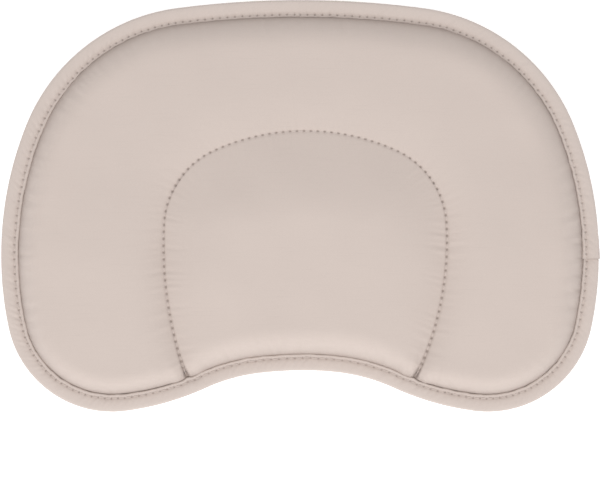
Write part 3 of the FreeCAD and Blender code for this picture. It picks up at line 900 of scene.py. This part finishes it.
def makeBinding():
    t = tapeStyle
    base = np.arange(0, outline.total, 0.55)
    close = tapeJoin + np.array([-1.2, -0.7, -0.35, -0.15, -0.03, 0.03, 0.2, 0.45, 0.8, 1.3])
    s = np.sort(np.concatenate([base[np.abs(base - tapeJoin) > 1.4], close]))
    front, inside = tapeCurve, smoothThrough(tapeInside, 14)
    share = np.concatenate([front[:, 0], inside[:, 0], inside[::-1][1:, 0], front[::-1][:-1, 0]])
    rise = np.concatenate([front[:, 1], inside[:, 1], -inside[::-1][1:, 1], -front[::-1][:-1, 1]])
    outer = np.concatenate([np.ones(len(front)), np.zeros(2 * len(inside) - 1), np.ones(len(front) - 1)])
    side = np.sign(rise)
    sAll, shareAll = s[:, None] + 0 * share, share[None, :] + 0 * s[:, None]
    width = tapeWidth(s)[:, None]
    place, _ = outline.at(np.repeat(s, len(share)), (shareAll * width).ravel())
    tilt = t["crownTilt"] * crownShare(s)[:, None] * (0.5 - shareAll) * width * (rise > 0.5) * outer
    z = heights["tapeMiddle"] + rise[None, :] + tilt
    points = np.concatenate([place, z.reshape(-1, 1)], 1).reshape(len(s), len(share), 3)
    normal = -gridNormals(points, True, True)
    frontDetails, backDetails = (tapeDetail(sAll, shareAll, drag) for drag in (tapeDrag, tapeBackDrag))
    detail = np.where(side[None, :] >= 0, frontDetails, backDetails)
    lap = tapeRise(sAll) * (1 - 0.55 * smooth(0.75, 1.0, shareAll))
    lap -= t["stepAfterLap"] * sinceJoin(sAll, t["stepReach"])
    flat = np.where(side[None, :] == 0, 0.0, 1.0)
    points = points + normal * ((detail * flat + lap) * outer[None, :])[..., None]
    count = len(share)
    piece = addMesh("edgeBinding", points.reshape(-1, 3), gridFaces(len(s), count, True, True)[:, ::-1].tolist())
    across = np.cumsum(np.concatenate([[0], np.hypot(np.diff(share) * t["width"], np.diff(rise))]))
    setUv(piece, "cloth", np.stack([sAll, across[None, :] + 0 * sAll], -1).reshape(-1, 2) * mm)
    fromRow = (shareAll - rowShare(s)[:, None]) * t["width"]
    setUv(piece, "row", np.stack([sAll / t["pitch"], fromRow], -1).reshape(-1, 2))
    # painted shade along the tape's inner lip, as strong as the crease shade beside it, and at and just after the
    # lap's folded end, where the lower tape runs out from under it
    lip = np.exp(-np.abs(1.0 - shareAll) * t["width"] / t["lipWidth"])
    cut = bell(sAll - tapeJoin, 0.35) * (shareAll < 0.8) + 0.35 * sinceJoin(sAll, 3.0)
    setValue(piece, "crease", np.clip(t["lipShade"] * lip * creaseShare(sAll) + t["lapShade"] * cut, 0, 1))
    # the needle holes' painted shade follows the crease shade, never below 0.45 of full
    setValue(piece, "holeShare", np.clip(1.2 * creaseShare(sAll), 0.45, 1))
    declare(piece, tapeMaterial, "edge_binding")
    print("binding made: %d points" % (len(s) * count))


makeBinding()


stitchStyle = dict(
    radius=0.21, along=8, around=6, gap=0.5, dive=0.42, arch=0.10, tapeJitter=0.06, archJitter=0.07,
    tapeLevel=1.84, archSink=0.42, archFootSink=1.3, clearOfTape=1.6,
)


def threadTubes(name, first, last, side, node):
    # each stitch is a tube on a line between two holes: it rises fast, runs level and dives at both ends
    s = stitchStyle
    up = np.array([0.0, 0.0, side])
    t = np.linspace(0, 1, s["along"])
    hump = 1 - np.abs(2 * t - 1) ** 4
    line = first[:, None] * (1 - t[:, None]) + last[:, None] * t[:, None]
    line = line + up * ((hump * (s["dive"] + s["arch"]) - s["dive"])[None, :, None])
    forward = last - first
    forward /= np.linalg.norm(forward, axis=1, keepdims=True)
    sideways = np.cross(forward, up)
    sideways /= np.linalg.norm(sideways, axis=1, keepdims=True)
    square = np.cross(sideways, forward)
    angle = np.arange(s["around"]) * 2 * math.pi / s["around"]
    thin = s["radius"] * (0.55 + 0.45 * hump ** 0.5)
    ring = sideways[:, None] * np.cos(angle)[None, :, None] + square[:, None] * np.sin(angle)[None, :, None]
    points = line[:, :, None] + ring[:, None] * thin[None, :, None, None]
    perStitch = s["along"] * s["around"]
    quads = gridFaces(s["along"], s["around"], False, True)
    starts = np.arange(len(first))[:, None, None] * perStitch
    faces = (quads[None] + starts).reshape(-1, 4).tolist()
    capA = (np.arange(s["around"])[None] + starts[:, 0]).tolist()
    capB = (perStitch - 1 - np.arange(s["around"])[None] + starts[:, 0]).tolist()
    piece = addMesh(name, points.reshape(-1, 3), faces + capA + capB)
    fixNormals(piece)
    around = np.tile(np.arange(s["around"]) / s["around"], s["along"] * len(first))
    setUv(piece, "ply", np.column_stack([np.tile(np.repeat(t, s["around"]), len(first)), around]))
    declare(piece, threadMaterial, node)


def fixNormals(piece):
    work = bmesh.new()
    work.from_mesh(piece.data)
    bmesh.ops.recalc_face_normals(work, faces=work.faces)
    work.to_mesh(piece.data)
    work.free()


def makeTapeStitches(name, side, node):
    t = tapeStyle
    count = int(outline.total / t["pitch"])
    holes = np.arange(count) * t["pitch"]
    jitter = rng.normal(0, stitchStyle["tapeJitter"], (2, count))
    startS = holes + stitchStyle["gap"] / 2 + jitter[0] * 0.5
    endS = holes + t["pitch"] - stitchStyle["gap"] / 2 + jitter[0] * 0.5

    def placeOn(s):
        share = rowShare(s)
        flat, _ = outline.at(s, share * tapeWidth(s) + jitter[1])
        detail = tapeDetail(s, share, tapeDrag if side > 0 else tapeBackDrag)
        level = stitchStyle["tapeLevel"] + detail * 0.6 + tapeRise(s) * 0.9
        if side > 0:
            level = level + t["crownTilt"] * crownShare(s) * (0.5 - share) * tapeWidth(s)
        return np.column_stack([flat, heights["tapeMiddle"] + side * level])
    threadTubes(name, placeOn(startS), placeOn(endS), side, node)


def makeArchStitches(name, levelOf, side, node):
    # one row along the quilting line, at the height that levelOf gives for places on it
    q = quilting
    holes = np.arange(int(arch.total / q["pitch"])) * q["pitch"]
    middle, _ = arch.at(holes + q["pitch"] / 2)
    inside, along = outline.nearest(middle)
    holes = holes[inside - visibleWidth(along) > stitchStyle["clearOfTape"]]
    jitter = rng.normal(0, stitchStyle["archJitter"], len(holes))
    startS, endS = holes + stitchStyle["gap"] / 2, holes + q["pitch"] - stitchStyle["gap"] / 2

    def placeOn(s):
        flat, _ = arch.at(s, jitter)
        inside, along = outline.nearest(flat)
        return np.column_stack([flat, levelOf(flat, inside - visibleWidth(along))])
    threadTubes(name, placeOn(startS), placeOn(endS), side, node)


makeTapeStitches("bindingStitchesFront", 1, "binding_stitches_front")
makeTapeStitches("bindingStitchesBack", -1, "binding_stitches_back")
makeArchStitches(
    "quiltingStitches",
    lambda p, e: quiltHeight(p, e) - stitchStyle["archSink"]
    - stitchStyle["archFootSink"] * quilting["footSink"] * np.exp(-e / quilting["footReach"]),
    1.0, "quilting_stitches_top")
print("stitches made")


innerGrid = dict(top=90, leg=44, rim=24)
innerGaps = dict(
    cover=0.85, coverSteep=1.6, steepReach=5.0, foot=0.4, footWidth=3.5, footReach=8.0, line=0.5, lineWidth=1.2,
    back=0.75, backSteep=0.9, backReach=8.0,
)


def rimEdges(faces, count):
    # first and last points of the edges that no neighbour runs the other way
    a, b = np.array([pair for face in faces for pair in zip(face, face[1:] + face[:1])]).T
    lone = ~np.isin(a * count + b, b * count + a)
    return a[lone], b[lone]


def closedLayer(name, inset, topOf, bottomOf, material, node):
    # two sheets over one flat grid, joined by a wall round the rim
    points, faces = flatPanel(inset, **innerGrid)
    faces = turnUp(points, faces, 1)
    edge, along = outline.nearest(points)
    fromEdge = edge - visibleWidth(along)
    fromLine, _ = arch.nearest(points)
    count = len(points)
    top, bottom = topOf(points, fromEdge, fromLine), bottomOf(points, fromEdge, fromLine)
    a, b = rimEdges(faces, count)
    walls = np.stack([b, a, a + count, b + count], 1).tolist()
    under = [tuple(v + count for v in reversed(face)) for face in faces]
    vertices = np.concatenate([np.column_stack([points, top]), np.column_stack([points, bottom])])
    piece = addMesh(name, vertices, [tuple(f) for f in faces] + under + walls)
    declare(piece, material, node)


def liningMiddle(points, fromEdge, fromLine):
    return heights["tapeMiddle"] + heights["liningRise"] * swell(
        fromEdge, heights["liningRoll"], heights["liningPower"])


def coverInside(points, fromEdge, fromLine):
    # under the front cover by its thickness square to the slope, which is steep by the tape, and by its puckers
    g = innerGaps
    steep = 1 + g["coverSteep"] * fade(fromEdge, g["steepReach"])
    foot = (quilting["footSink"] + g["foot"]) * bell(fromLine, g["footWidth"]) * fade(fromEdge, g["footReach"])
    front = frontHeight(points, fromEdge, fromLine)
    return front - g["cover"] * steep - g["line"] * bell(fromLine, g["lineWidth"]) - foot


def backInside(points, fromEdge, fromLine):
    g = innerGaps
    steep = 1 + g["backSteep"] * fade(fromEdge, g["backReach"])
    return backHeight(points, fromEdge) + g["back"] * steep


def byLining(lift, clear):
    # a level that lift puts over or under the lining's middle, and at least clear under the cover's inside
    return lambda p, e, l: np.minimum(liningMiddle(p, e, l) + lift, coverInside(p, e, l) - clear)


liningTop, liningUnder = byLining(lift=0.15, clear=0.3), byLining(lift=-0.15, clear=0.6)
closedLayer(
    "quiltWadding", 9.2, coverInside, byLining(lift=0.25, clear=0.15),
    fillMaterial, "quilt_wadding")
closedLayer("quiltLining", 8.6, liningTop, liningUnder, liningMaterial, "quilt_lining")
closedLayer(
    "corePad", 10.2, byLining(lift=-0.9, clear=1.2),
    lambda p, e, l: np.minimum(backInside(p, e, l), liningMiddle(p, e, l) - 1.4),
    fillMaterial, "core_pad")
makeArchStitches(
    "quiltingStitchesUnder", lambda p, e: liningUnder(p, e, 0 * e) - 0.1, -1.0, "quilting_stitches_under")
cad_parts["closing_stitches"].data.materials.clear()
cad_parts["closing_stitches"].data.materials.append(hiddenThread)
print("inner layers made")


floorMaterial, _, floorShader = newMaterial("paleFloor", 0.7, 0.0, 0.3)
floorStyle = dict(half=3000.0, colour=(0.96, 0.96, 0.96, 1), glow=(1.0, 1.0, 1.0, 1), glowStrength=0.35)
floorShader.inputs["Base Color"].default_value = floorStyle["colour"]
floorShader.inputs["Emission Color"].default_value = floorStyle["glow"]
floorShader.inputs["Emission Strength"].default_value = floorStyle["glowStrength"]
floorCorners = np.array([(-1, -1, 0), (1, -1, 0), (1, 1, 0), (-1, 1, 0)]) * floorStyle["half"]
floor = addMesh("floor", floorCorners, [(0, 1, 2, 3)])
floor.data.materials.append(floorMaterial)
